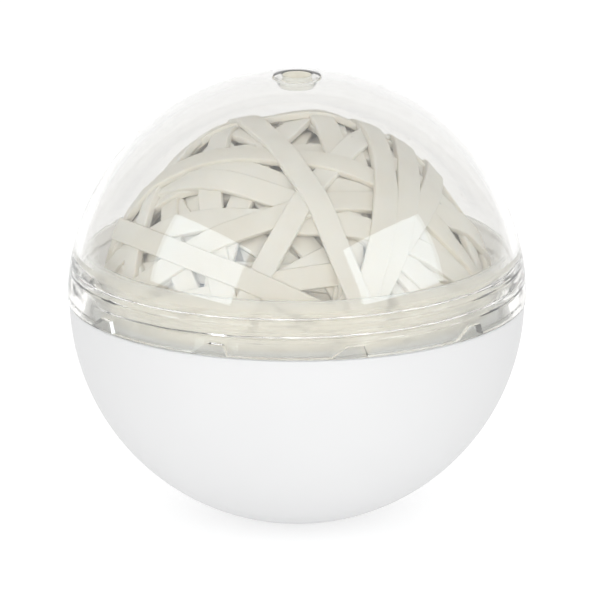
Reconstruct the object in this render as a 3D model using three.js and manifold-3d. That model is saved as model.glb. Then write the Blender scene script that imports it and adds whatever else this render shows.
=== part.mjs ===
// A rubber band ball lying in a two-part plastic ball case: an opaque bowl with a standing neck,
// and a clear dome that screws down over the neck. Millimetres, +Z up. The origin is the middle of
// the flat spot that the bowl stands on.
import * as THREE from 'three';
import { mergeVertices } from 'three/addons/utils/BufferGeometryUtils.js';
import Module from 'manifold-3d';

const wasm = await Module();
wasm.setup();

// ---- Driving dimensions ------------------------------------------------------------------------

// The case. Heights that end in _H are measured from the ball case's own centre, its equator.
const DOME_R = 38;               // outer radius of the clear dome
const DOME_INNER_R = 36.4;       // inner radius of its spherical part
const SKIRT_INNER_R = 35.6;      // radius of the straight bore that goes over the neck
const BOWL_R = 37.65;            // the bowl is a touch smaller than the dome
const BOWL_INNER_R = 35.9;
const BASE_FLAT_R = 8;           // radius of the flat spot under the bowl
const FLOOR_WALL = 1.6;          // thickness of the bowl above the flat spot
const SEAM_GAP = 0.3;            // between the dome's lower edge and the bowl's shoulder
const NECK_OUTER_R = 34.9;
const NECK_INNER_R = 33.3;
const NECK_TOP_H = 9;
const NECK_ROOT_H = -2;          // where the inside of the neck turns into the bowl
const NECK_CHAMFER = 0.4;        // on both edges of the neck's top
const BOWL_INSIDE_START = THREE.MathUtils.degToRad(-9);   // where the bowl's round inside begins
const CASE_SIDES = 60;           // facets round the dome and the bowl
const ARC_STEP = THREE.MathUtils.degToRad(8);

// The hole at the dome's pole, with a rounded lip outside and a boss inside.
const HOLE_R = 2.33;
const LIP_R = 3.6;
const LIP_HEIGHT = 0.25;
const LIP_FLAT = 0.45;           // width of the lip's flat top
const LIP_EDGE = 0.4;            // chamfer from the lip's top down into the hole
const BOSS_DEPTH = 0.9;          // from the inner pole down to the boss's lower face
const BOSS_EDGE = 0.3;           // chamfer at the hole's lower end
const BOSS_FLANK = 0.6;          // height of the slope that rounds the boss's rim

// The notches in the dome's lower edge, which lock it against the bowl.
const NOTCH_COUNT = 10;
const NOTCH_FIRST_AZIMUTH = THREE.MathUtils.degToRad(13.5);
const NOTCH_HEIGHT = 1.8;
const NOTCH_DEPTH_R = 36.9;      // how far out from the axis the notch reaches
const NOTCH_HALF = 2.95;         // half the notch's length along the edge
const NOTCH_RAMP = 2.6;          // length of its gentle flank
const NOTCH_STEEP = 0.7;         // length of its steep flank

// The ball.
const BAND_WIDTH = 3.9;
const BAND_THICKNESS = 0.9;
const BAND_GAP = 0.15;           // clearance between a band and what it lies on
const BAND_STATIONS = 30;        // cross-sections round one band
const INNER_WINDING_R = 17.4;    // the hidden windings under the outer bands
const WINDING_SIDES = 28;
const WINDING_ROWS = 18;
const REST_GAP = 0.3;            // between the lowest band and the bowl's floor

const CENTRE_Z = Math.sqrt(BOWL_R ** 2 - BASE_FLAT_R ** 2);

// Each outer band runs round the ball in a plane through the ball's middle, so one point that it
// passes and its heading there fix it: azimuth (0 faces -Y, 90 faces +X), elevation, and heading
// (0 points up, 90 points to the right as seen from outside). In degrees, and in the order in
// which the bands are put on: each one lies over those before it.
const UNDER_BANDS = [
  [10, 5, 12], [100, -5, 30], [-20, 0, 78], [80, 35, -70], [150, -30, 55], [-60, 10, 38],
];
const OUTER_BANDS = [
  [48, 72, -41], [26, 20, 9], [34, 19, -13], [-69, 21, -64], [-88, 19, -78], [-60, 38, -51],
  [-31, 51, -5], [-4, 25, 81], [19, 37, 10], [29, 53, -53], [-45, 49, -38], [171, 79, 81],
  [-53, 60, 77], [-53, 54, 74], [-33, 42, 74], [-89, 48, -44], [88, 23, -45], [-10, 33, 22],
  [66, 24, -23], [65, 44, 74], [62, 51, 58], [41, 50, 36], [-40, 29, -82], [-1, 62, -24],
];

// ---- Materials ---------------------------------------------------------------------------------

const plastic = (color, opacity) => new THREE.MeshStandardMaterial({
  color, roughness: 0.12, metalness: 0, opacity, transparent: opacity < 1,
});
const rubber = (color) => new THREE.MeshStandardMaterial({ color, roughness: 0.62, metalness: 0 });

// ---- Helpers -----------------------------------------------------------------------------------

// Points on an arc about the case's centre, as (distance from the axis, height), between angles
// measured up from the equator. Both ends are included.
function arc(radius, from, to) {
  const steps = Math.max(2, Math.ceil(Math.abs(to - from) / ARC_STEP));
  const points = [];
  for (let i = 0; i <= steps; i++) {
    const angle = from + ((to - from) * i) / steps;
    points.push(new THREE.Vector2(radius * Math.cos(angle), CENTRE_Z + radius * Math.sin(angle)));
  }
  return points;
}

const at = (radius, height) => new THREE.Vector2(radius, CENTRE_Z + height);

// Turns a profile about Z. LatheGeometry turns about Y, so the result is tipped up.
function turned(profile) {
  const geometry = new THREE.LatheGeometry(profile, CASE_SIDES);
  geometry.rotateX(Math.PI / 2);
  return geometry;
}

// A closed geometry as a solid for boolean work, and back.
function toSolid(geometry) {
  const bare = geometry.clone();
  bare.deleteAttribute('normal');
  bare.deleteAttribute('uv');
  const merged = mergeVertices(bare, 1e-4);
  const mesh = new wasm.Mesh({
    numProp: 3,
    vertProperties: new Float32Array(merged.attributes.position.array),
    triVerts: new Uint32Array(merged.index.array),
  });
  return new wasm.Manifold(mesh);
}

function toGeometry(solid) {
  const mesh = solid.getMesh();
  const geometry = new THREE.BufferGeometry();
  geometry.setAttribute('position', new THREE.BufferAttribute(mesh.vertProperties, 3));
  geometry.setIndex(new THREE.BufferAttribute(mesh.triVerts, 1));
  geometry.computeVertexNormals();
  return geometry;
}

const group = new THREE.Group();

function add(name, geometry, material) {
  const mesh = new THREE.Mesh(geometry, material);
  mesh.name = name;
  group.add(mesh);
  return mesh;
}

// ---- The bowl ----------------------------------------------------------------------------------

function bowlGeometry() {
  const floorH = -CENTRE_Z + FLOOR_WALL;
  const shoulderH = -SEAM_GAP;
  const profile = [
    at(0, -CENTRE_Z),
    ...arc(BOWL_R, -Math.acos(BASE_FLAT_R / BOWL_R), Math.asin(shoulderH / BOWL_R)),
    at(NECK_OUTER_R, shoulderH),
    at(NECK_OUTER_R, NECK_TOP_H - NECK_CHAMFER),
    at(NECK_OUTER_R - NECK_CHAMFER, NECK_TOP_H),
    at(NECK_INNER_R + NECK_CHAMFER, NECK_TOP_H),
    at(NECK_INNER_R, NECK_TOP_H - NECK_CHAMFER),
    at(NECK_INNER_R, NECK_ROOT_H),
    ...arc(BOWL_INNER_R, BOWL_INSIDE_START, Math.asin(floorH / BOWL_INNER_R)),
    at(0, floorH),
  ];
  return turned(profile);
}

// ---- The dome ----------------------------------------------------------------------------------

// One notch as a solid that reaches in from the bore and cuts the edge from below.
function notchSolid(azimuth) {
  const below = 1;               // how far the cutter starts under the edge
  const outline = new THREE.Shape([
    new THREE.Vector2(-NOTCH_HALF, -below),
    new THREE.Vector2(NOTCH_HALF, -below),
    new THREE.Vector2(NOTCH_HALF, 0),
    new THREE.Vector2(NOTCH_HALF - NOTCH_STEEP, NOTCH_HEIGHT),
    new THREE.Vector2(-NOTCH_HALF + NOTCH_RAMP, NOTCH_HEIGHT),
    new THREE.Vector2(-NOTCH_HALF, 0),
  ]);
  const inward = 3;              // how far it reaches in, past the bore
  const geometry = new THREE.ExtrudeGeometry(outline, { depth: inward, bevelEnabled: false });
  geometry.rotateX(Math.PI / 2);
  geometry.translate(0, -NOTCH_DEPTH_R + inward, CENTRE_Z);
  geometry.rotateZ(azimuth);
  return toSolid(geometry);
}

function domeGeometry() {
  const lipTop = Math.sqrt(DOME_R ** 2 - LIP_R ** 2) + LIP_HEIGHT;
  const lipMiddle = (HOLE_R + LIP_R) / 2;
  const bossTop = Math.sqrt(DOME_INNER_R ** 2 - LIP_R ** 2);
  const bossLow = DOME_INNER_R - BOSS_DEPTH;
  const innerFrom = Math.acos(LIP_R / DOME_INNER_R);
  const innerTo = Math.acos(SKIRT_INNER_R / DOME_INNER_R);
  const profile = [
    ...arc(DOME_R, 0, Math.acos(LIP_R / DOME_R)),
    at(lipMiddle + LIP_FLAT / 2, lipTop),
    at(lipMiddle - LIP_FLAT / 2, lipTop),
    at(HOLE_R, lipTop - LIP_EDGE),
    at(HOLE_R, bossLow + BOSS_EDGE),
    at(lipMiddle, bossLow),
    at(LIP_R, bossLow + BOSS_FLANK),
    at(LIP_R, bossTop),
    ...arc(DOME_INNER_R, innerFrom, innerTo).slice(1),
    at(SKIRT_INNER_R, 0),
    at(DOME_R, 0),
  ];
  let solid = toSolid(turned(profile));
  for (let i = 0; i < NOTCH_COUNT; i++) {
    const azimuth = NOTCH_FIRST_AZIMUTH + (i * 2 * Math.PI) / NOTCH_COUNT;
    solid = solid.subtract(notchSolid(azimuth));
  }
  return toGeometry(solid);
}

// ---- The ball ----------------------------------------------------------------------------------

// The plane of a band: two directions in it, and its normal.
function bandFrame([azimuth, elevation, heading]) {
  const [a, e, h] = [azimuth, elevation, heading].map(THREE.MathUtils.degToRad);
  const out = new THREE.Vector3(Math.sin(a) * Math.cos(e), -Math.cos(a) * Math.cos(e), Math.sin(e));
  const right = new THREE.Vector3(Math.cos(a), Math.sin(a), 0);
  const up = new THREE.Vector3().crossVectors(out, right);
  const along = up.multiplyScalar(Math.cos(h)).addScaledVector(right, Math.sin(h));
  return { out, along, normal: new THREE.Vector3().crossVectors(out, along) };
}

// The inner outline of a taut band over the points that lie under its width: the hull of those
// points, given as one radius for each station, and pushed out until no facet cuts a point.
function tautRadii(under) {
  const directions = 120;        // in which the hull is sampled
  const narrow = 0.5;            // least cosine at which a direction still bounds a station
  const share = 0.5;             // of a shortfall, taken by each end of a facet
  const passes = 40;
  const tolerance = 0.001;
  const reach = [];
  for (let k = 0; k < directions; k++) {
    const phi = (k * 2 * Math.PI) / directions;
    const [c, s] = [Math.cos(phi), Math.sin(phi)];
    let most = INNER_WINDING_R;
    for (const [x, y] of under) most = Math.max(most, x * c + y * s);
    reach.push(most + BAND_GAP);
  }
  const step = (2 * Math.PI) / BAND_STATIONS;
  const radii = [];
  for (let j = 0; j < BAND_STATIONS; j++) {
    let least = Infinity;
    for (let k = 0; k < directions; k++) {
      const cosine = Math.cos((k * 2 * Math.PI) / directions - j * step);
      if (cosine > narrow) least = Math.min(least, reach[k] / cosine);
    }
    radii.push(Math.max(least, (INNER_WINDING_R + BAND_GAP) / Math.cos(step / 2)));
  }
  for (let pass = 0; pass < passes; pass++) {
    for (const [x, y] of under) {
      const theta = (Math.atan2(y, x) + 2 * Math.PI) % (2 * Math.PI);
      const j = Math.floor(theta / step) % BAND_STATIONS;
      const next = (j + 1) % BAND_STATIONS;
      const [a, b] = [j * step, (j + 1) * step];
      const [ax, ay] = [radii[j] * Math.cos(a), radii[j] * Math.sin(a)];
      const [bx, by] = [radii[next] * Math.cos(b), radii[next] * Math.sin(b)];
      const length = Math.hypot(bx - ax, by - ay);
      const inside = ((bx - ax) * (y - ay) - (by - ay) * (x - ax)) / length;
      const short = BAND_GAP - inside;
      if (short > tolerance) {
        radii[j] += share * short;
        radii[next] += share * short;
      }
    }
  }
  return radii;
}

// A closed loop of rectangular section from its radii, in the frame of its plane.
function loopGeometry(frame, radii) {
  const positions = [];
  const place = (radius, angle, side) => {
    const p = new THREE.Vector3()
      .addScaledVector(frame.out, radius * Math.cos(angle))
      .addScaledVector(frame.along, radius * Math.sin(angle))
      .addScaledVector(frame.normal, side);
    positions.push(p.x, p.y, p.z);
  };
  const half = BAND_WIDTH / 2;
  radii.forEach((radius, j) => {
    const angle = (j * 2 * Math.PI) / radii.length;
    place(radius, angle, -half);
    place(radius + BAND_THICKNESS, angle, -half);
    place(radius + BAND_THICKNESS, angle, half);
    place(radius, angle, half);
  });
  const index = [];
  for (let j = 0; j < radii.length; j++) {
    const next = (j + 1) % radii.length;
    for (let c = 0; c < 4; c++) {
      const d = (c + 1) % 4;
      const [p, q, r, s] = [4 * j + c, 4 * j + d, 4 * next + d, 4 * next + c];
      index.push(p, r, q, p, s, r);
    }
  }
  const geometry = new THREE.BufferGeometry();
  geometry.setAttribute('position', new THREE.Float32BufferAttribute(positions, 3));
  geometry.setIndex(index);
  geometry.computeVertexNormals();
  return geometry;
}

// Points spread over the outer face of a band, which later bands must stay outside.
function outerFacePoints(frame, radii) {
  const points = [];
  const along = 8;               // samples along each facet
  const across = 10;             // steps across it
  for (let j = 0; j < radii.length; j++) {
    const next = (j + 1) % radii.length;
    const [a, b] = [j, j + 1].map((n) => (n * 2 * Math.PI) / radii.length);
    const [ra, rb] = [radii[j], radii[next]].map((radius) => radius + BAND_THICKNESS);
    for (let i = 0; i < along; i++) {
      const t = i / along;
      const x = (1 - t) * ra * Math.cos(a) + t * rb * Math.cos(b);
      const y = (1 - t) * ra * Math.sin(a) + t * rb * Math.sin(b);
      for (let k = 0; k <= across; k++) {
        const side = BAND_WIDTH * (k / across - 0.5);
        points.push(new THREE.Vector3()
          .addScaledVector(frame.out, x)
          .addScaledVector(frame.along, y)
          .addScaledVector(frame.normal, side));
      }
    }
  }
  return points;
}

function windBands(list) {
  const margin = 0.4;            // how far beside a band what lies there still holds it up
  const laid = [];
  return list.map((place) => {
    const frame = bandFrame(place);
    const under = laid
      .filter((p) => Math.abs(p.dot(frame.normal)) < BAND_WIDTH / 2 + margin)
      .map((p) => [p.dot(frame.out), p.dot(frame.along)]);
    const radii = tautRadii(under);
    laid.push(...outerFacePoints(frame, radii));
    return loopGeometry(frame, radii);
  });
}

// The height of the ball's middle when it lies in the bowl: no corner of a band may come nearer
// than the rest gap to the bowl's round wall or its floor.
function seatedHeight(bands) {
  const wall = BOWL_INNER_R * Math.cos(Math.PI / CASE_SIDES) * Math.cos(ARC_STEP / 2) - REST_GAP;
  let height = 0;
  const corner = new THREE.Vector3();
  for (const { attributes: { position } } of bands) {
    for (let i = 0; i < position.count; i++) {
      corner.fromBufferAttribute(position, i);
      const out = Math.hypot(corner.x, corner.y);
      const lowest = Math.max(CENTRE_Z - Math.sqrt(wall ** 2 - out ** 2), FLOOR_WALL + REST_GAP);
      height = Math.max(height, lowest - corner.z);
    }
  }
  return height;
}

// ---- The object --------------------------------------------------------------------------------

add('bowl', bowlGeometry(), plastic('#efefef', 1));
add('dome', domeGeometry(), plastic('#f2f2ee', 0.3));

const bands = windBands([...UNDER_BANDS, ...OUTER_BANDS]);
const ballZ = seatedHeight(bands);

const winding = new THREE.SphereGeometry(INNER_WINDING_R, WINDING_SIDES, WINDING_ROWS);
winding.rotateX(Math.PI / 2);
add('inner_winding', winding, rubber('#c4bfae')).position.z = ballZ;
bands.forEach((geometry, i) => {
  const name = `band_${String(i + 1).padStart(2, '0')}`;
  add(name, geometry, rubber('#d8d3c6')).position.z = ballZ;
});

export default group;
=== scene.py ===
"""The look of a rubber band ball in a two-part ball case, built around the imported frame.

Metres, +Z up, -Y to the front. Lengths of the object are in millimetres and are scaled by MM where
a mesh is made. Angles round the object start at the front and grow towards +X.
"""

import math

import bpy
import numpy as np
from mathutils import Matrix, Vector


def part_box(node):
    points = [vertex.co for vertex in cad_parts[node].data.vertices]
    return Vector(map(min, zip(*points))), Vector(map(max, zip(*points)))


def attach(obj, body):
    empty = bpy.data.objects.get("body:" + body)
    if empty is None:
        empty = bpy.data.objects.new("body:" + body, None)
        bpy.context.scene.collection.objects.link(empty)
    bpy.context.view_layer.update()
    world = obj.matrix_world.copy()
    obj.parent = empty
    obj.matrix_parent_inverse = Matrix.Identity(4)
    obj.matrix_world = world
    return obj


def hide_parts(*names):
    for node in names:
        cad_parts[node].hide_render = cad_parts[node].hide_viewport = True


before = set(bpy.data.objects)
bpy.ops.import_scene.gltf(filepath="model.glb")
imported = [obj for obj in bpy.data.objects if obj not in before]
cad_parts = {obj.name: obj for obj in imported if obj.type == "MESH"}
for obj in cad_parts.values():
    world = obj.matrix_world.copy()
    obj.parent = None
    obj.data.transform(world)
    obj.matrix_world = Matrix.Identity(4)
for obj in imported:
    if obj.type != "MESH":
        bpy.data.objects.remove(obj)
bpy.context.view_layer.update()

# ---- Driving values ----------------------------------------------------------------------------

MM = 0.001
dome_low, dome_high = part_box("dome")
bowl_low, bowl_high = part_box("bowl")
EQUATOR = dome_low.z / MM                    # height of the case's centre, where the dome ends
DOME_R = (dome_high.x - dome_low.x) / 2 / MM
BOWL_R = (bowl_high.x - bowl_low.x) / 2 / MM
NECK_TOP = EQUATOR + 9.0
SEAM = EQUATOR - 0.12                        # the bowl's shoulder, under the dome's lower edge
BASE_FLAT_R = math.sqrt(BOWL_R ** 2 - EQUATOR ** 2)

DOME_INNER_R = 36.4
SKIRT_INNER_R = 35.65                        # straight bore of the dome, over the neck
NECK_OUTER_R = 34.8
NECK_INNER_R = 33.7
NECK_ROOT = EQUATOR - 2.0                    # where the neck's inside turns into the bowl
NECK_EDGE = 0.3                              # rounding of the neck's top edges
BOWL_INNER_R = 35.9
BOWL_FLOOR = 1.6                             # thickness over the flat spot
SHOULDER_EDGE = 0.2                          # rounding of the bowl's shoulder
POLE_R = 0.5                                 # the bowl's profile starts and ends this near the axis
DOME_BEVEL = ((0.12, 0.0), (0.03, 0.05))     # its lower edge: steps in from DOME_R and up

HOLE_R = 2.33
HOLE_EDGE = 0.35                             # rounding of the hole's upper edge
LIP_FOOT_R = 4.2                             # where the lip's slope starts to rise
LIP_HEIGHT = 0.1
LIP_STEEPNESS = 1.6                          # 1 would spread the slope over the whole lip
BOSS_FLAT_R = 2.5                            # the boss's lower face
BOSS_FOOT_R = 3.9                            # where the boss runs out into the dome's inside
BOSS_DEPTH = 1.3                             # from the dome's inner pole down to its lower face
BOSS_EDGE = 0.3                              # rounding of the hole's lower edge
HOLE_WALL_R = HOLE_R + 0.1                   # faces nearer to the axis belong to the hole's wall

THREAD_LEAD = 3.0                            # rise for each turn, right-handed
THREAD_HEIGHT = 0.4
THREAD_HALF = 0.75                           # half its width at the foot
THREAD_FLANK = 0.35                          # width of each flank
THREAD_FADE = 0.08                           # turns over which it fades out at an end
# Each thread: its first and last height, and the turn by which it is shifted.
NECK_THREAD = (EQUATOR + 1.4, EQUATOR + 7.6, -0.32)
DOME_THREAD = (EQUATOR + 2.2, EQUATOR + 7.2, 0.18)
DOME_THREAD_SHARE = -0.9                     # the dome's is cut in, and a little shallower

NOTCH_COUNT = 10
NOTCH_PITCH = 2 * math.pi / NOTCH_COUNT
NOTCH_FIRST = math.radians(13.5)
NOTCH_HEIGHT = 1.8
NOTCH_DEPTH_R = 36.9
NOTCH_HALF = 2.95                            # half its length along the edge
NOTCH_RAMP = 2.6                             # length of its gentle flank
NOTCH_STEEP = 0.7                            # length of its steep flank
BORE_EDGE = 0.03                             # the bore ends this far above the dome's edge
SKIRT_REACH = 1.2                            # the skirt's plastic goes on this far above the bore

DOME_STATIONS = 200                          # sections round the dome, besides the notch corners
BOWL_STATIONS = 224
SKIRT_ROWS = 34                              # rows that carry a thread
NECK_ROWS = 62
ARC_STEP = 1.5                               # degrees between points of a round profile
CORNER_GAP = 0.3                             # degrees that an arc stops short of a corner
BAND_CREASE = 50                             # degrees above which an edge is drawn sharp
CASE_CREASE = 40

BALL_CENTRE = np.array((0.4, 0.0, EQUATOR - 2.5))
BALL_STRETCH = np.array((1.02, 1.02, 1.0))   # the ball sits a little squat in the bowl
BAND_WIDTH = 3.95
BAND_THICKNESS = 1.15
BAND_CORNER = 0.24                           # rounding of a band's edges
WIDTH_SPREAD = (0.96, 1.03)                  # least and greatest share of the usual width
WANDER = 0.35                                # how far an outer band drifts off its plane
INNER_WANDER = 0.9
HEART_R = 26.9                               # radius of the solid heart under the inner bands
HEART_COVER = 0.4                            # the heart's mesh fills the gaps by this much
MEAN_R = 30.0                                # a round figure for lengths along a band

# The bands, in the order in which they are put on. One point that the band passes and its heading
# there fix its plane: azimuth (0 faces -Y, 90 faces +X), elevation, heading (0 up, 90 right).
UNDER_BANDS = [
    (10, 5, 12), (100, -5, 30), (-20, 0, 78), (80, 35, -70), (150, -30, 55), (-60, 10, 38),
]
OUTER_BANDS = [
    (48, 72, -41), (26, 20, 9), (34, 19, -13), (-69, 21, -64), (-88, 19, -78), (-60, 38, -51),
    (-31, 51, -5), (-4, 25, 81), (19, 37, 10), (29, 53, -53), (-45, 49, -38), (171, 79, 81),
    (-53, 60, 77), (-53, 54, 74), (-33, 42, 74), (-89, 48, -44), (88, 23, -45), (-10, 33, 22),
    (66, 24, -23), (65, 44, 74), (62, 51, 58), (41, 50, 36), (-40, 29, -82), (-1, 62, -24),
]
INNER_BAND_COUNT = 30

# Where the ball is out of round: azimuth, elevation, rise in mm, spread in degrees.
LUMPS = [
    (-130, 66, 1.8, 18), (122, 61, 1.9, 18), (104, 33, -1.2, 20), (-90, 8, 0.9, 20),
    (0, 80, -2.0, 16), (180, 60, 0.3, 14),
]

SEED = 7
rng = np.random.default_rng(SEED)


# ---- Mesh helpers ------------------------------------------------------------------------------

def make_object(name, points, faces, smooth_angle=None):
    """An object from points in millimetres, shaded smooth."""
    mesh = bpy.data.meshes.new(name)
    mesh.from_pydata([tuple(p) for p in np.asarray(points) * MM], [], faces)
    mesh.validate()
    mesh.update()
    mesh.polygons.foreach_set("use_smooth", [True] * len(mesh.polygons))
    if smooth_angle is not None:
        mesh.set_sharp_from_angle(angle=math.radians(smooth_angle))
    ob = bpy.data.objects.new(name, mesh)
    bpy.context.scene.collection.objects.link(ob)
    return ob


def ring_faces(rings, ring_size):
    """Quads that join rings of points into a closed tube."""
    faces = []
    for i in range(rings):
        a = i * ring_size
        b = (i + 1) % rings * ring_size
        for k in range(ring_size):
            m = (k + 1) % ring_size
            faces.append((a + k, b + k, b + m, a + m))
    return faces


# ---- Winding the ball --------------------------------------------------------------------------

STATIONS = 180                               # places round a band where its height is worked out
OUTER_STATIONS = 150                         # sections of an outer band's mesh
INNER_STATIONS = 96
SAG = 0.045                                  # how sharply a band dips between its supports, 1/mm
PRESS = 0.48                                 # how far bands press into each other where they cross
SLUMP = 0.15                                 # most that a band drops from one station to the next
SMOOTHING = 1.6                              # stations over which a band's height is blurred
MAX_TILT = 0.42                              # steepest slope across a band
EDGE_REACH = 0.25                            # a support this far outside an edge still carries
ACROSS = np.linspace(-0.5, 0.5, 5)           # samples across a band's outer face
SPOT_COUNT = 700                             # places where the inner bands' cover is counted
PLANE_COUNT = 250                            # planes that an inner band can choose from


def band_plane(azimuth, elevation, heading):
    """Outward, along and across directions of a band at the point that it is given by."""
    a, e, h = (math.radians(v) for v in (azimuth, elevation, heading))
    out = np.array([math.sin(a) * math.cos(e), -math.cos(a) * math.cos(e), math.sin(e)])
    right = np.array([math.cos(a), math.sin(a), 0.0])
    up = np.cross(out, right)
    along = up * math.cos(h) + right * math.sin(h)
    return out, along, np.cross(out, along)


def closing(heights, sag, step):
    """The lowest line over the heights that nowhere dips more sharply than sag."""
    n = len(heights)
    gap = np.abs(np.subtract.outer(np.arange(n), np.arange(n)))
    gap = np.minimum(gap, n - gap) * step
    dip = 0.5 * sag * gap ** 2
    raised = (heights[None, :] - dip).max(axis=1)
    return (raised[None, :] + dip).min(axis=1)


def blurred(values, width):
    """Smoothed round the loop by a bell curve of that many stations."""
    n = len(values)
    gap = np.abs(np.arange(n) - n // 2)
    bell = np.exp(-0.5 * (gap / width) ** 2)
    bell = np.roll(bell / bell.sum(), -(n // 2))
    return np.real(np.fft.ifft(np.fft.fft(values) * np.fft.fft(bell)))


def lump_rise(ways):
    """How far the heart stands out in the given directions."""
    rise = np.zeros(len(ways))
    for azimuth, elevation, height, spread in LUMPS:
        middle, _, _ = band_plane(azimuth, elevation, 0)
        away = np.degrees(np.arccos(np.clip(ways @ middle, -1, 1)))
        rise += height * np.exp(-(away / spread) ** 2)
    return rise


class Ball:
    """The bands laid so far, as sample points on their outer faces."""

    def __init__(self):
        self.samples = np.zeros((0, 3))

    def lay(self, plane, width, wander):
        """Lays one band over the others: its plane, drift, and inner height at both edges."""
        out, along, across = plane
        theta = np.arange(STATIONS) * 2 * math.pi / STATIONS
        phases = rng.uniform(0, 2 * math.pi, 3)
        drift = sum(
            wander / (i + 1) * np.sin((i + 2) * theta + phase) for i, phase in enumerate(phases)
        )
        x, y = self.samples @ out, self.samples @ along
        turn = np.arctan2(y, x) % (2 * math.pi)
        station = np.round(turn / (2 * math.pi) * STATIONS).astype(int) % STATIONS
        side = self.samples @ across - drift[station]
        near = np.abs(side) < width / 2 + EDGE_REACH
        reach = np.hypot(x, y)[near]
        station, side = station[near], side[near]
        step = 2 * math.pi * MEAN_R / STATIONS
        ways = np.outer(np.cos(theta), out) + np.outer(np.sin(theta), along)
        edges = []
        for edge in (-width / 2, width / 2):
            height = HEART_R + lump_rise(ways)
            np.maximum.at(height, station, reach - MAX_TILT * np.abs(side - edge) - PRESS)
            beside = np.maximum(np.roll(height, 1), np.roll(height, -1))
            height = np.maximum(height, beside - SLUMP)
            edges.append(blurred(closing(height, SAG, step), SMOOTHING))
        left, right = edges
        most = MAX_TILT * width
        left, right = np.maximum(left, right - most), np.maximum(right, left - most)
        band = {
            "out": out, "along": along, "across": across,
            "drift": drift, "left": left, "right": right, "width": width,
        }
        self.samples = np.vstack([self.samples, outer_samples(band)])
        return band


def outer_samples(band):
    """Points over a band's outer face."""
    theta = np.arange(STATIONS) * 2 * math.pi / STATIONS
    points = []
    for share in ACROSS:
        mix = share + 0.5
        radius = (1 - mix) * band["left"] + mix * band["right"] + BAND_THICKNESS
        side = band["drift"] + share * band["width"]
        points.append(
            np.outer(radius * np.cos(theta), band["out"])
            + np.outer(radius * np.sin(theta), band["along"])
            + np.outer(side, band["across"])
        )
    return np.vstack(points)


def section(width):
    """A band's rounded rectangle as (across, height) points, from the inner left corner round."""
    low, high = BAND_CORNER, BAND_THICKNESS - BAND_CORNER
    points = []
    for side, height, start in ((-1, low, 180), (1, low, 270), (1, high, 0), (-1, high, 90)):
        middle = side * (width / 2 - BAND_CORNER)
        points += fillet(middle, height, BAND_CORNER, start, start + 90, 4)
    return np.array(points)


def band_mesh(band, stations):
    """Points and faces of a band, resampled to that many stations."""
    theta = np.arange(stations) * 2 * math.pi / stations
    source = np.arange(STATIONS + 1) * 2 * math.pi / STATIONS

    def resampled(values):
        return np.interp(theta, source, np.append(values, values[0]))

    left, right, drift = (resampled(band[k]) for k in ("left", "right", "drift"))
    width = band["width"]
    outline = section(width)
    tilt = np.arctan2(right - left, width)
    middle = (left + right) / 2
    radial = np.outer(np.cos(theta), band["out"]) + np.outer(np.sin(theta), band["along"])
    rings = np.zeros((stations, len(outline), 3))
    for k, (side, height) in enumerate(outline):
        lift = middle + side * np.sin(tilt) + height * np.cos(tilt)
        shift = drift + side * np.cos(tilt) - height * np.sin(tilt)
        rings[:, k, :] = radial * lift[:, None] + np.outer(shift, band["across"])
    return rings.reshape(-1, 3), ring_faces(stations, len(outline))


def store_tone(mesh, tone):
    """Stores each band's own tone, which its material reads."""
    attribute = mesh.attributes.new("tone", "FLOAT", "POINT")
    attribute.data.foreach_set("value", np.asarray(tone, np.float32))


def spiral(count):
    """Directions spread evenly over a sphere, from its top down."""
    i = np.arange(count)
    z = 1 - (2 * i + 1) / count
    turn = i * math.pi * (3 - math.sqrt(5))
    flat = np.sqrt(1 - z ** 2)
    return np.stack([flat * np.cos(turn), flat * np.sin(turn), z], axis=1)


def filling_planes(count, given):
    """Planes for the inner bands: each one goes where the bands so far are fewest."""
    spots = spiral(SPOT_COUNT)
    reach = 0.75 * BAND_WIDTH / MEAN_R
    cover = sum(np.exp(-((spots @ across) / reach) ** 2) for _, _, across in given)
    candidates = spiral(2 * PLANE_COUNT)[:PLANE_COUNT]   # the upper half holds every plane
    closeness = np.exp(-((candidates @ spots.T) / reach) ** 2)
    planes = []
    for _ in range(count):
        cost = closeness @ cover ** 2
        best = int(np.argmin(cost))
        across = candidates[best]
        cover = cover + closeness[best]
        out = np.cross(across, [0.3, 0.5, 0.81])   # any direction that no candidate lies along
        out /= np.linalg.norm(out)
        planes.append((out, np.cross(across, out), across))
    return planes


def sphere_mesh(radius, around, up):
    """A plain ball of quads with a pole at each end."""
    points = [(0, 0, -radius)]
    for i in range(1, up):
        a = -math.pi / 2 + math.pi * i / up
        for k in range(around):
            b = 2 * math.pi * k / around
            points.append((radius * math.cos(a) * math.cos(b), radius * math.cos(a) * math.sin(b),
                           radius * math.sin(a)))
    points.append((0, 0, radius))
    last = len(points) - 1
    faces = [(0, 1 + (k + 1) % around, 1 + k) for k in range(around)]
    for i in range(up - 2):
        a = 1 + i * around
        for k in range(around):
            m = (k + 1) % around
            faces.append((a + k, a + m, a + around + m, a + around + k))
    a = 1 + (up - 2) * around
    faces.extend((a + k, a + (k + 1) % around, last) for k in range(around))
    return np.array(points), faces


def placed(points):
    """Points about the ball's middle, moved to where the ball lies."""
    return points * BALL_STRETCH + BALL_CENTRE


def build_inner_bands(ball, planes):
    """The heart and the bands that only show between the others, as one piece."""
    pieces = []
    for plane in planes:
        band = ball.lay(plane, BAND_WIDTH, INNER_WANDER)
        pieces.append((*band_mesh(band, INNER_STATIONS), rng.uniform(-1, 1)))
    pieces.append((*sphere_mesh(HEART_R + HEART_COVER, around=48, up=24), -1.0))
    points, faces, tones = [], [], []
    for piece_points, piece_faces, tone in pieces:
        start = len(tones)
        points.append(placed(piece_points))
        faces.extend(tuple(i + start for i in face) for face in piece_faces)
        tones.extend([tone] * len(piece_points))
    ob = make_object("inner_bands", np.vstack(points), faces, BAND_CREASE)
    store_tone(ob.data, tones)
    return ob


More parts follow.
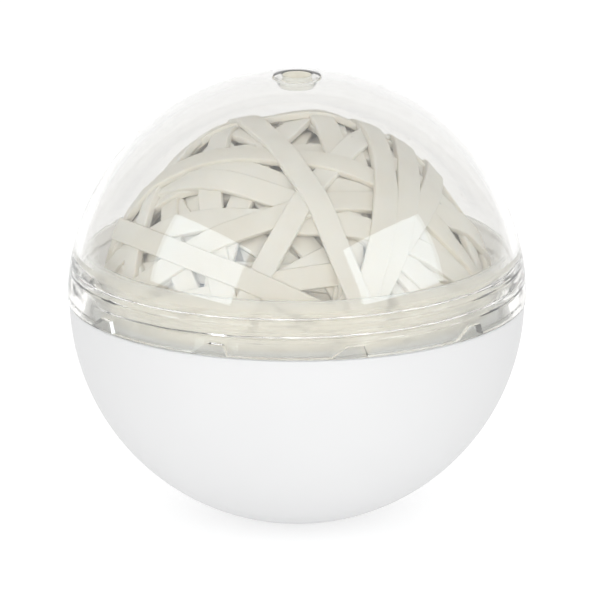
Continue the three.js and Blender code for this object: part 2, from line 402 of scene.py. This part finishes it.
def build_ball():
    """The pieces of the ball, each with the node that it replaces."""
    ball = Ball()
    outer_planes = [band_plane(*place) for place in UNDER_BANDS + OUTER_BANDS]
    inner_planes = filling_planes(INNER_BAND_COUNT, outer_planes)
    pieces = [(build_inner_bands(ball, inner_planes), "inner_winding")]
    for i, plane in enumerate(outer_planes, 1):
        width = BAND_WIDTH * rng.uniform(*WIDTH_SPREAD)
        points, faces = band_mesh(ball.lay(plane, width, WANDER), OUTER_STATIONS)
        ob = make_object(f"rubber_band_{i:02d}", placed(points), faces, BAND_CREASE)
        store_tone(ob.data, [rng.uniform(-1, 1)] * len(points))
        pieces.append((ob, f"band_{i:02d}"))
    return pieces


# ---- The case ----------------------------------------------------------------------------------

def arc(radius, start, end, step=ARC_STEP):
    """Profile points (radius, height) on a circle about the case's centre, angles in degrees."""
    count = max(2, int(abs(end - start) / step))
    angles = np.radians(np.linspace(start, end, count + 1))
    return [(radius * math.cos(a), EQUATOR + radius * math.sin(a)) for a in angles]


def fillet(cx, cy, radius, start, end, count=5):
    """Profile points of a rounded edge about (cx, cy), angles in degrees."""
    angles = np.radians(np.linspace(start, end, count))
    return [(cx + radius * math.cos(a), cy + radius * math.sin(a)) for a in angles]


def smooth(share):
    """An S-shaped step from 0 to 1."""
    share = max(0.0, min(1.0, share))
    return share * share * (3 - 2 * share)


def thread_relief(thread, angle, height):
    """How far a thread stands out at an angle and a height, fading at both ends."""
    first, last, shift = thread
    start = angle / (2 * math.pi) + shift
    turns = (height - first) / THREAD_LEAD - start
    nearest = round(turns)
    along = start + nearest
    left = (last - first) / THREAD_LEAD - along
    off = abs(turns - nearest) * THREAD_LEAD
    fade = min(1.0, max(0.0, along / THREAD_FADE), max(0.0, left / THREAD_FADE))
    return THREAD_HEIGHT * smooth((THREAD_HALF - off) / THREAD_FLANK) * fade


def turned(name, profile_at, stations):
    """An object turned about Z whose profile, a closed loop, may change with the angle."""
    points = []
    for a in stations:
        points.extend((r * math.sin(a), -r * math.cos(a), z) for r, z in profile_at(a))
    size = len(points) // len(stations)
    return make_object(name, points, ring_faces(len(stations), size), CASE_CREASE)


def notch_height(angle):
    """Height of the notch in the dome's edge at an angle: a low ramp, a flat and a steep end."""
    turn = (angle - NOTCH_FIRST + NOTCH_PITCH / 2) % NOTCH_PITCH - NOTCH_PITCH / 2
    off = turn * SKIRT_INNER_R
    ramp = (off + NOTCH_HALF) / NOTCH_RAMP
    steep = (NOTCH_HALF - off) / NOTCH_STEEP
    return NOTCH_HEIGHT * max(0.0, min(1.0, ramp, steep))


def even_turns(count):
    """Angles spread evenly round the object."""
    return [2 * math.pi * i / count for i in range(count)]


def dome_stations():
    """Even stations, with extra ones where the notches turn a corner."""
    least = 0.008                              # radians between a corner and an even station
    corners = [
        (NOTCH_FIRST + i * NOTCH_PITCH + off / SKIRT_INNER_R) % (2 * math.pi)
        for i in range(NOTCH_COUNT)
        for off in (-NOTCH_HALF, NOTCH_RAMP - NOTCH_HALF, NOTCH_HALF - NOTCH_STEEP, NOTCH_HALF)
    ]
    even = even_turns(DOME_STATIONS)
    return sorted([a for a in even if all(abs(a - c) > least for c in corners)] + corners)


def dome_height(radius, sphere):
    """Height of a sphere about the case's centre at a distance from the axis."""
    return EQUATOR + math.sqrt(sphere ** 2 - radius ** 2)


def angle_at(radius, sphere):
    """Degrees above the equator at which a sphere comes that near to the axis."""
    return math.degrees(math.acos(radius / sphere))


def hole_profile():
    """The raised lip, the hole's wall and the boss under it, from the outside in."""
    points = []
    top_r = HOLE_R + HOLE_EDGE
    for r in np.linspace(LIP_FOOT_R, top_r, 12):
        share = (LIP_FOOT_R - r) / (LIP_FOOT_R - top_r)
        rise = LIP_HEIGHT * smooth(LIP_STEEPNESS * share)
        points.append((r, dome_height(r, DOME_R) + rise))
    points += fillet(top_r, points[-1][1] - HOLE_EDGE, HOLE_EDGE, 75, 180, 6)
    foot = EQUATOR + DOME_INNER_R - BOSS_DEPTH
    points += fillet(HOLE_R + BOSS_EDGE, foot + BOSS_EDGE, BOSS_EDGE, 180, 270)
    for r in np.linspace(BOSS_FLAT_R, BOSS_FOOT_R, 10):
        share = smooth((r - BOSS_FLAT_R) / (BOSS_FOOT_R - BOSS_FLAT_R))
        points.append((r, foot + share * (dome_height(r, DOME_INNER_R) - foot)))
    return points


def build_dome():
    """The clear upper half, with its plastics in the order of its materials."""
    outer = arc(DOME_R, 0.4, angle_at(LIP_FOOT_R, DOME_R) - CORNER_GAP)
    bore_angle = angle_at(SKIRT_INNER_R, DOME_INNER_R)
    inner_top = angle_at(BOSS_FOOT_R, DOME_INNER_R) - CORNER_GAP
    inner = arc(DOME_INNER_R, inner_top, bore_angle + CORNER_GAP)
    hole = hole_profile()
    bore_top = dome_height(SKIRT_INNER_R, DOME_INNER_R) - 0.15
    rows = np.linspace(bore_top, EQUATOR + NOTCH_HEIGHT + 0.25, SKIRT_ROWS)
    bevel = [(DOME_R - inwards, EQUATOR + up) for inwards, up in DOME_BEVEL]

    def profile(angle):
        skirt = [
            (SKIRT_INNER_R + DOME_THREAD_SHARE * thread_relief(DOME_THREAD, angle, z), z)
            for z in rows
        ]
        h = EQUATOR + max(notch_height(angle), BORE_EDGE)
        notch = [(SKIRT_INNER_R, h), (NOTCH_DEPTH_R, h), (NOTCH_DEPTH_R, EQUATOR)]
        return outer + hole + inner + skirt + notch + bevel

    ob = turned("dome_shell", profile, dome_stations())
    for polygon in ob.data.polygons:
        centre = polygon.center / MM
        from_axis = math.hypot(centre.x, centre.y)
        # the hole's wall, whose material carries a painted reflection of the rubber
        if from_axis < HOLE_WALL_R:
            polygon.material_index = 3
        elif from_axis < BOSS_FOOT_R:
            polygon.material_index = 2
        elif centre.z < bore_top + SKIRT_REACH:
            polygon.material_index = 1
    return ob


def build_bowl():
    """The white lower half, with the neck as its second material."""
    floor_angle = math.degrees(math.asin((EQUATOR - BOWL_FLOOR) / BOWL_INNER_R))
    shoulder_angle = math.degrees(math.asin((SEAM - EQUATOR) / BOWL_R))
    flat = [(POLE_R, 0.0), (BASE_FLAT_R - 0.5, 0.0)]
    outside = arc(BOWL_R, -angle_at(BASE_FLAT_R, BOWL_R), shoulder_angle - 0.35)
    edge = SHOULDER_EDGE
    shoulder = fillet(BOWL_R - edge, SEAM - edge, edge, 10, 90, 4)
    rows = np.linspace(SEAM + 0.05, NECK_TOP - 0.35, NECK_ROWS)
    edge = NECK_EDGE
    top = fillet(NECK_OUTER_R - edge, NECK_TOP - edge, edge, 15, 90, 4)
    top += fillet(NECK_INNER_R + edge, NECK_TOP - edge, edge, 90, 180, 4)
    inside = [(NECK_INNER_R, z) for z in np.linspace(NECK_TOP - 1.5, NECK_ROOT, 5)]
    inside += arc(BOWL_INNER_R, -9, -floor_angle, 2 * ARC_STEP)
    inside.append((POLE_R, BOWL_FLOOR))

    def profile(angle):
        neck = [(NECK_OUTER_R + thread_relief(NECK_THREAD, angle, z), z) for z in rows]
        return flat + outside + shoulder + neck + top + inside

    ob = turned("bowl_shell", profile, even_turns(BOWL_STATIONS))
    for polygon in ob.data.polygons:
        polygon.material_index = int(polygon.center.z > (SEAM + 0.02) * MM)
    return ob


# ---- Materials ---------------------------------------------------------------------------------

def new_material(name, roughness, bending=1.5):
    """A material with its roughness and index of refraction, and what its other nodes need."""
    mat = bpy.data.materials.new(name)
    mat.use_nodes = True
    nodes = mat.node_tree.nodes
    shader = nodes["Principled BSDF"]
    shader.inputs["Roughness"].default_value = roughness
    shader.inputs["IOR"].default_value = bending
    coords = nodes.new("ShaderNodeTexCoord").outputs["Object"]
    return mat, nodes, mat.node_tree.links, shader, coords


def noise(nodes, links, coords, scale, detail=2.0):
    """A soft random factor; the scale is in swings per metre."""
    node = nodes.new("ShaderNodeTexNoise")
    node.inputs["Scale"].default_value = scale
    node.inputs["Detail"].default_value = detail
    node.inputs["Roughness"].default_value = 0.55
    links.new(coords, node.inputs["Vector"])
    return node.outputs["Fac"]


def colour_ramp(nodes, links, shader, factor, stops):
    """Gives the shader a colour that follows a factor through the stops."""
    node = nodes.new("ShaderNodeValToRGB")
    elements = node.color_ramp.elements
    while len(elements) < len(stops):
        elements.new(0.5)
    for element, (position, colour) in zip(elements, stops):
        element.position = position
        element.color = (*colour, 1.0)
    links.new(factor, node.inputs["Fac"])
    links.new(node.outputs["Color"], shader.inputs["Base Color"])


def clouded(nodes, links, shader, coords, scale, dark, light):
    """Gives the shader a colour that drifts between two."""
    cloud = noise(nodes, links, coords, scale)
    colour_ramp(nodes, links, shader, cloud, [(0.3, dark), (0.7, light)])


def bumps(nodes, links, height, strength, distance):
    """A bump node for a factor; the distance is its full height in metres."""
    node = nodes.new("ShaderNodeBump")
    node.inputs["Strength"].default_value = strength
    node.inputs["Distance"].default_value = distance
    links.new(height, node.inputs["Height"])
    return node


def let_shadows_through(nodes, links, shader, colour):
    """Light reaches through a clear part as if it were tinted film."""
    clear = nodes.new("ShaderNodeBsdfTransparent")
    clear.inputs["Color"].default_value = (*colour, 1.0)
    path = nodes.new("ShaderNodeLightPath")
    mix = nodes.new("ShaderNodeMixShader")
    links.new(path.outputs["Is Shadow Ray"], mix.inputs["Fac"])
    links.new(shader.outputs["BSDF"], mix.inputs[1])
    links.new(clear.outputs["BSDF"], mix.inputs[2])
    links.new(mix.outputs["Shader"], nodes["Material Output"].inputs["Surface"])


def rubber_material():
    """Off-white satin rubber with a fine grain, in a slightly different tone on each band."""
    mat, nodes, links, shader, coords = new_material("satin_rubber", 0.7, 1.28)
    tone = nodes.new("ShaderNodeAttribute")
    tone.attribute_name = "tone"
    mix = nodes.new("ShaderNodeMath")
    mix.operation = "MULTIPLY_ADD"
    mix.inputs[1].default_value = 0.22         # how much the band's own tone counts
    links.new(tone.outputs["Fac"], mix.inputs[0])
    links.new(noise(nodes, links, coords, 130.0, 3.0), mix.inputs[2])
    colour_ramp(nodes, links, shader, mix.outputs[0], [
        (0.25, (0.785, 0.733, 0.628)),
        (0.5, (0.807, 0.760, 0.662)),
        (0.8, (0.830, 0.788, 0.700)),
    ])
    shader.inputs["Subsurface Weight"].default_value = 0.25
    shader.inputs["Subsurface Radius"].default_value = (1.0, 0.8, 0.6)
    shader.inputs["Subsurface Scale"].default_value = 0.0008
    grain = bumps(nodes, links, noise(nodes, links, coords, 2600.0), 0.25, 0.00008)
    links.new(grain.outputs["Normal"], shader.inputs["Normal"])
    return mat


def bowl_material():
    """The opaque white of the bowl."""
    mat, nodes, links, shader, coords = new_material("white_case_plastic", 0.5, 1.35)
    clouded(nodes, links, shader, coords, 40.0, (0.672, 0.673, 0.675), (0.686, 0.687, 0.689))
    waves = bumps(nodes, links, noise(nodes, links, coords, 60.0), 0.06, 0.0003)
    links.new(waves.outputs["Normal"], shader.inputs["Normal"])
    return mat


def neck_material():
    """The milky neck, thin enough for the cream of the rubber to show through it."""
    mat, nodes, links, shader, coords = new_material("milky_neck_plastic", 0.2)
    clouded(nodes, links, shader, coords, 90.0, (0.86, 0.83, 0.75), (0.88, 0.855, 0.785))
    shader.inputs["Alpha"].default_value = 0.38
    waves = bumps(nodes, links, noise(nodes, links, coords, 300.0), 0.03, 0.0002)
    links.new(waves.outputs["Normal"], shader.inputs["Normal"])
    let_shadows_through(nodes, links, shader, (0.95, 0.95, 0.94))
    return mat


def clear_material(name, tint, bending):
    """Clear plastic with a faint ripple and a few tiny round dents."""
    mat, nodes, links, shader, coords = new_material(name, 0.0, bending)
    shader.inputs["Base Color"].default_value = (*tint, 1.0)
    shader.inputs["Transmission Weight"].default_value = 0.98
    cells = nodes.new("ShaderNodeTexVoronoi")
    cells.inputs["Scale"].default_value = 230.0
    links.new(coords, cells.inputs["Vector"])
    speck = nodes.new("ShaderNodeMapRange")    # 1 near each cell's middle, 0 elsewhere
    speck.interpolation_type = "SMOOTHSTEP"
    speck.inputs["From Min"].default_value = 0.035
    speck.inputs["From Max"].default_value = 0.015
    links.new(cells.outputs["Distance"], speck.inputs["Value"])
    ripple = bumps(nodes, links, noise(nodes, links, coords, 900.0), 0.015, 0.0001)
    dents = bumps(nodes, links, speck.outputs["Result"], 0.5, 0.00008)
    links.new(ripple.outputs["Normal"], dents.inputs["Normal"])
    links.new(dents.outputs["Normal"], shader.inputs["Normal"])
    let_shadows_through(nodes, links, shader, (0.98, 0.98, 0.975))
    return mat


def hole_wall_reflection_material():
    """The hole's wall, painted cream as a reflection of the rubber below it."""
    mat, nodes, links, shader, coords = new_material("hole_wall_painted_reflection", 0.3, 1.4)
    # painted reflection: these cream colours stand in for the rubber mirrored in the hole's wall
    clouded(nodes, links, shader, coords, 700.0, (0.86, 0.83, 0.72), (0.90, 0.87, 0.77))
    shader.inputs["Alpha"].default_value = 0.75
    let_shadows_through(nodes, links, shader, (0.95, 0.94, 0.92))
    return mat


def floor_material():
    """The pale floor, which glows a little so that it shades off into the white tent."""
    mat, nodes, links, shader, coords = new_material("pale_floor", 0.9)
    clouded(nodes, links, shader, coords, 6.0, (0.60, 0.60, 0.60), (0.62, 0.62, 0.62))
    shader.inputs["Emission Color"].default_value = (1.0, 1.0, 1.0, 1.0)
    shader.inputs["Emission Strength"].default_value = 0.47
    return mat


# ---- Assembly ----------------------------------------------------------------------------------

def finish_piece(ob, node, body, slot, *materials):
    """Gives a piece its materials, puts it under its body's empty and hides the part that it
    replaces.
    """
    for material in materials:
        ob.data.materials.append(material)
    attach(ob, body)
    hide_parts(node)


rubber = rubber_material()
for piece, node in build_ball():
    finish_piece(piece, node, "bowl_and_ball", "rubber_bands", rubber)
finish_piece(build_bowl(), "bowl", "bowl_and_ball", "white_bowl",
             bowl_material(), neck_material())
finish_piece(build_dome(), "dome", "dome_cover", "clear_dome",
             clear_material("clear_dome_plastic", (0.933, 0.929, 0.918), 1.57),
             clear_material("clear_skirt_plastic", (0.995, 0.984, 0.958), 1.42),
             clear_material("clear_boss_plastic", (0.95, 0.945, 0.93), 1.19),
             hole_wall_reflection_material())


# ---- Stage, light and camera -------------------------------------------------------------------

CASE_CENTRE = Vector((0, 0, EQUATOR * MM))
FLOOR_HALF = 6000.0

# Sizes and distances of the lights and the camera are in metres.
BOX_AZIMUTH = 56                             # the two boxes stand this far to each side
BOX_COLOUR = (0.76, 0.88, 1.0)
CAMERA_ELEVATION = 16.0
CAMERA_DISTANCE = 1.5
SENSOR_WIDTH = 36.0
DOME_SHARE = 0.3826667                       # the dome's radius as a share of the picture's width
AIM_RIGHT = 0.0005                           # where the camera looks, from the case's centre
AIM_DOWN = 0.0006


def build_floor():
    """A plain pale floor that reaches past what the camera sees."""
    half = FLOOR_HALF
    points = [(-half, -half, 0), (half, -half, 0), (half, half, 0), (-half, half, 0)]
    floor = make_object("floor", points, [(0, 1, 2, 3)])
    floor.data.materials.append(floor_material())


def direction(azimuth, elevation):
    """The direction towards a light or camera: azimuth 0 is the front, positive to +X."""
    a, e = math.radians(azimuth), math.radians(elevation)
    return Vector((math.sin(a) * math.cos(e), -math.cos(a) * math.cos(e), math.sin(e)))


def face(ob, target, azimuth, elevation, distance):
    """Puts a light or camera at that distance from a point and turns it to the point."""
    towards = direction(azimuth, elevation)
    ob.location = target + towards * distance
    ob.rotation_euler = towards.to_track_quat("Z", "Y").to_euler()
    bpy.context.scene.collection.objects.link(ob)


def soft_box(name, azimuth, elevation, distance, width, height, power):
    """A rectangular light that faces the case."""
    data = bpy.data.lights.new(name, "AREA")
    data.shape = "RECTANGLE"
    data.size, data.size_y = width, height
    data.energy = power
    ob = bpy.data.objects.new(name, data)
    ob.visible_camera = False
    face(ob, CASE_CENTRE, azimuth, elevation, distance)
    return ob


def build_lights():
    """Two boxes that show only as bright patches, a fill that shows in nothing, and the tent."""
    for name, azimuth in (("soft_box_left", -BOX_AZIMUTH), ("soft_box_right", BOX_AZIMUTH)):
        box = soft_box(name, azimuth, 25, distance=0.6, width=0.52, height=0.32, power=1.2)
        box.data.color = BOX_COLOUR
        box.visible_diffuse = False
    fill = soft_box("front_fill", 0, 12, distance=1.2, width=0.8, height=0.4, power=3.95)
    fill.visible_glossy = False
    fill.visible_transmission = False
    world = bpy.data.worlds.new("studio")
    world.use_nodes = True
    background = world.node_tree.nodes["Background"]
    background.inputs["Color"].default_value = (1.0, 1.0, 1.0, 1.0)
    background.inputs["Strength"].default_value = 1.0
    bpy.context.scene.world = world


def build_camera():
    """The photo's view: a little from above, with the dome as large as it is there."""
    data = bpy.data.cameras.new("camera")
    data.sensor_width = SENSOR_WIDTH
    data.lens = DOME_SHARE * SENSOR_WIDTH * CAMERA_DISTANCE / (DOME_R * MM)
    camera = bpy.data.objects.new("camera", data)
    tilt = math.radians(CAMERA_ELEVATION)
    up = Vector((0, math.sin(tilt), math.cos(tilt)))
    aim = CASE_CENTRE + Vector((AIM_RIGHT, 0, 0)) - up * AIM_DOWN
    face(camera, aim, 0, CAMERA_ELEVATION, CAMERA_DISTANCE)
    bpy.context.scene.camera = camera


build_floor()
build_lights()
build_camera()
light_paths = bpy.context.scene.cycles       # light turns many corners inside the clear walls
light_paths.max_bounces = 20
light_paths.glossy_bounces = 12
light_paths.transmission_bounces = 16
view = bpy.context.scene.view_settings
view.view_transform = "Standard"
view.look = "None"
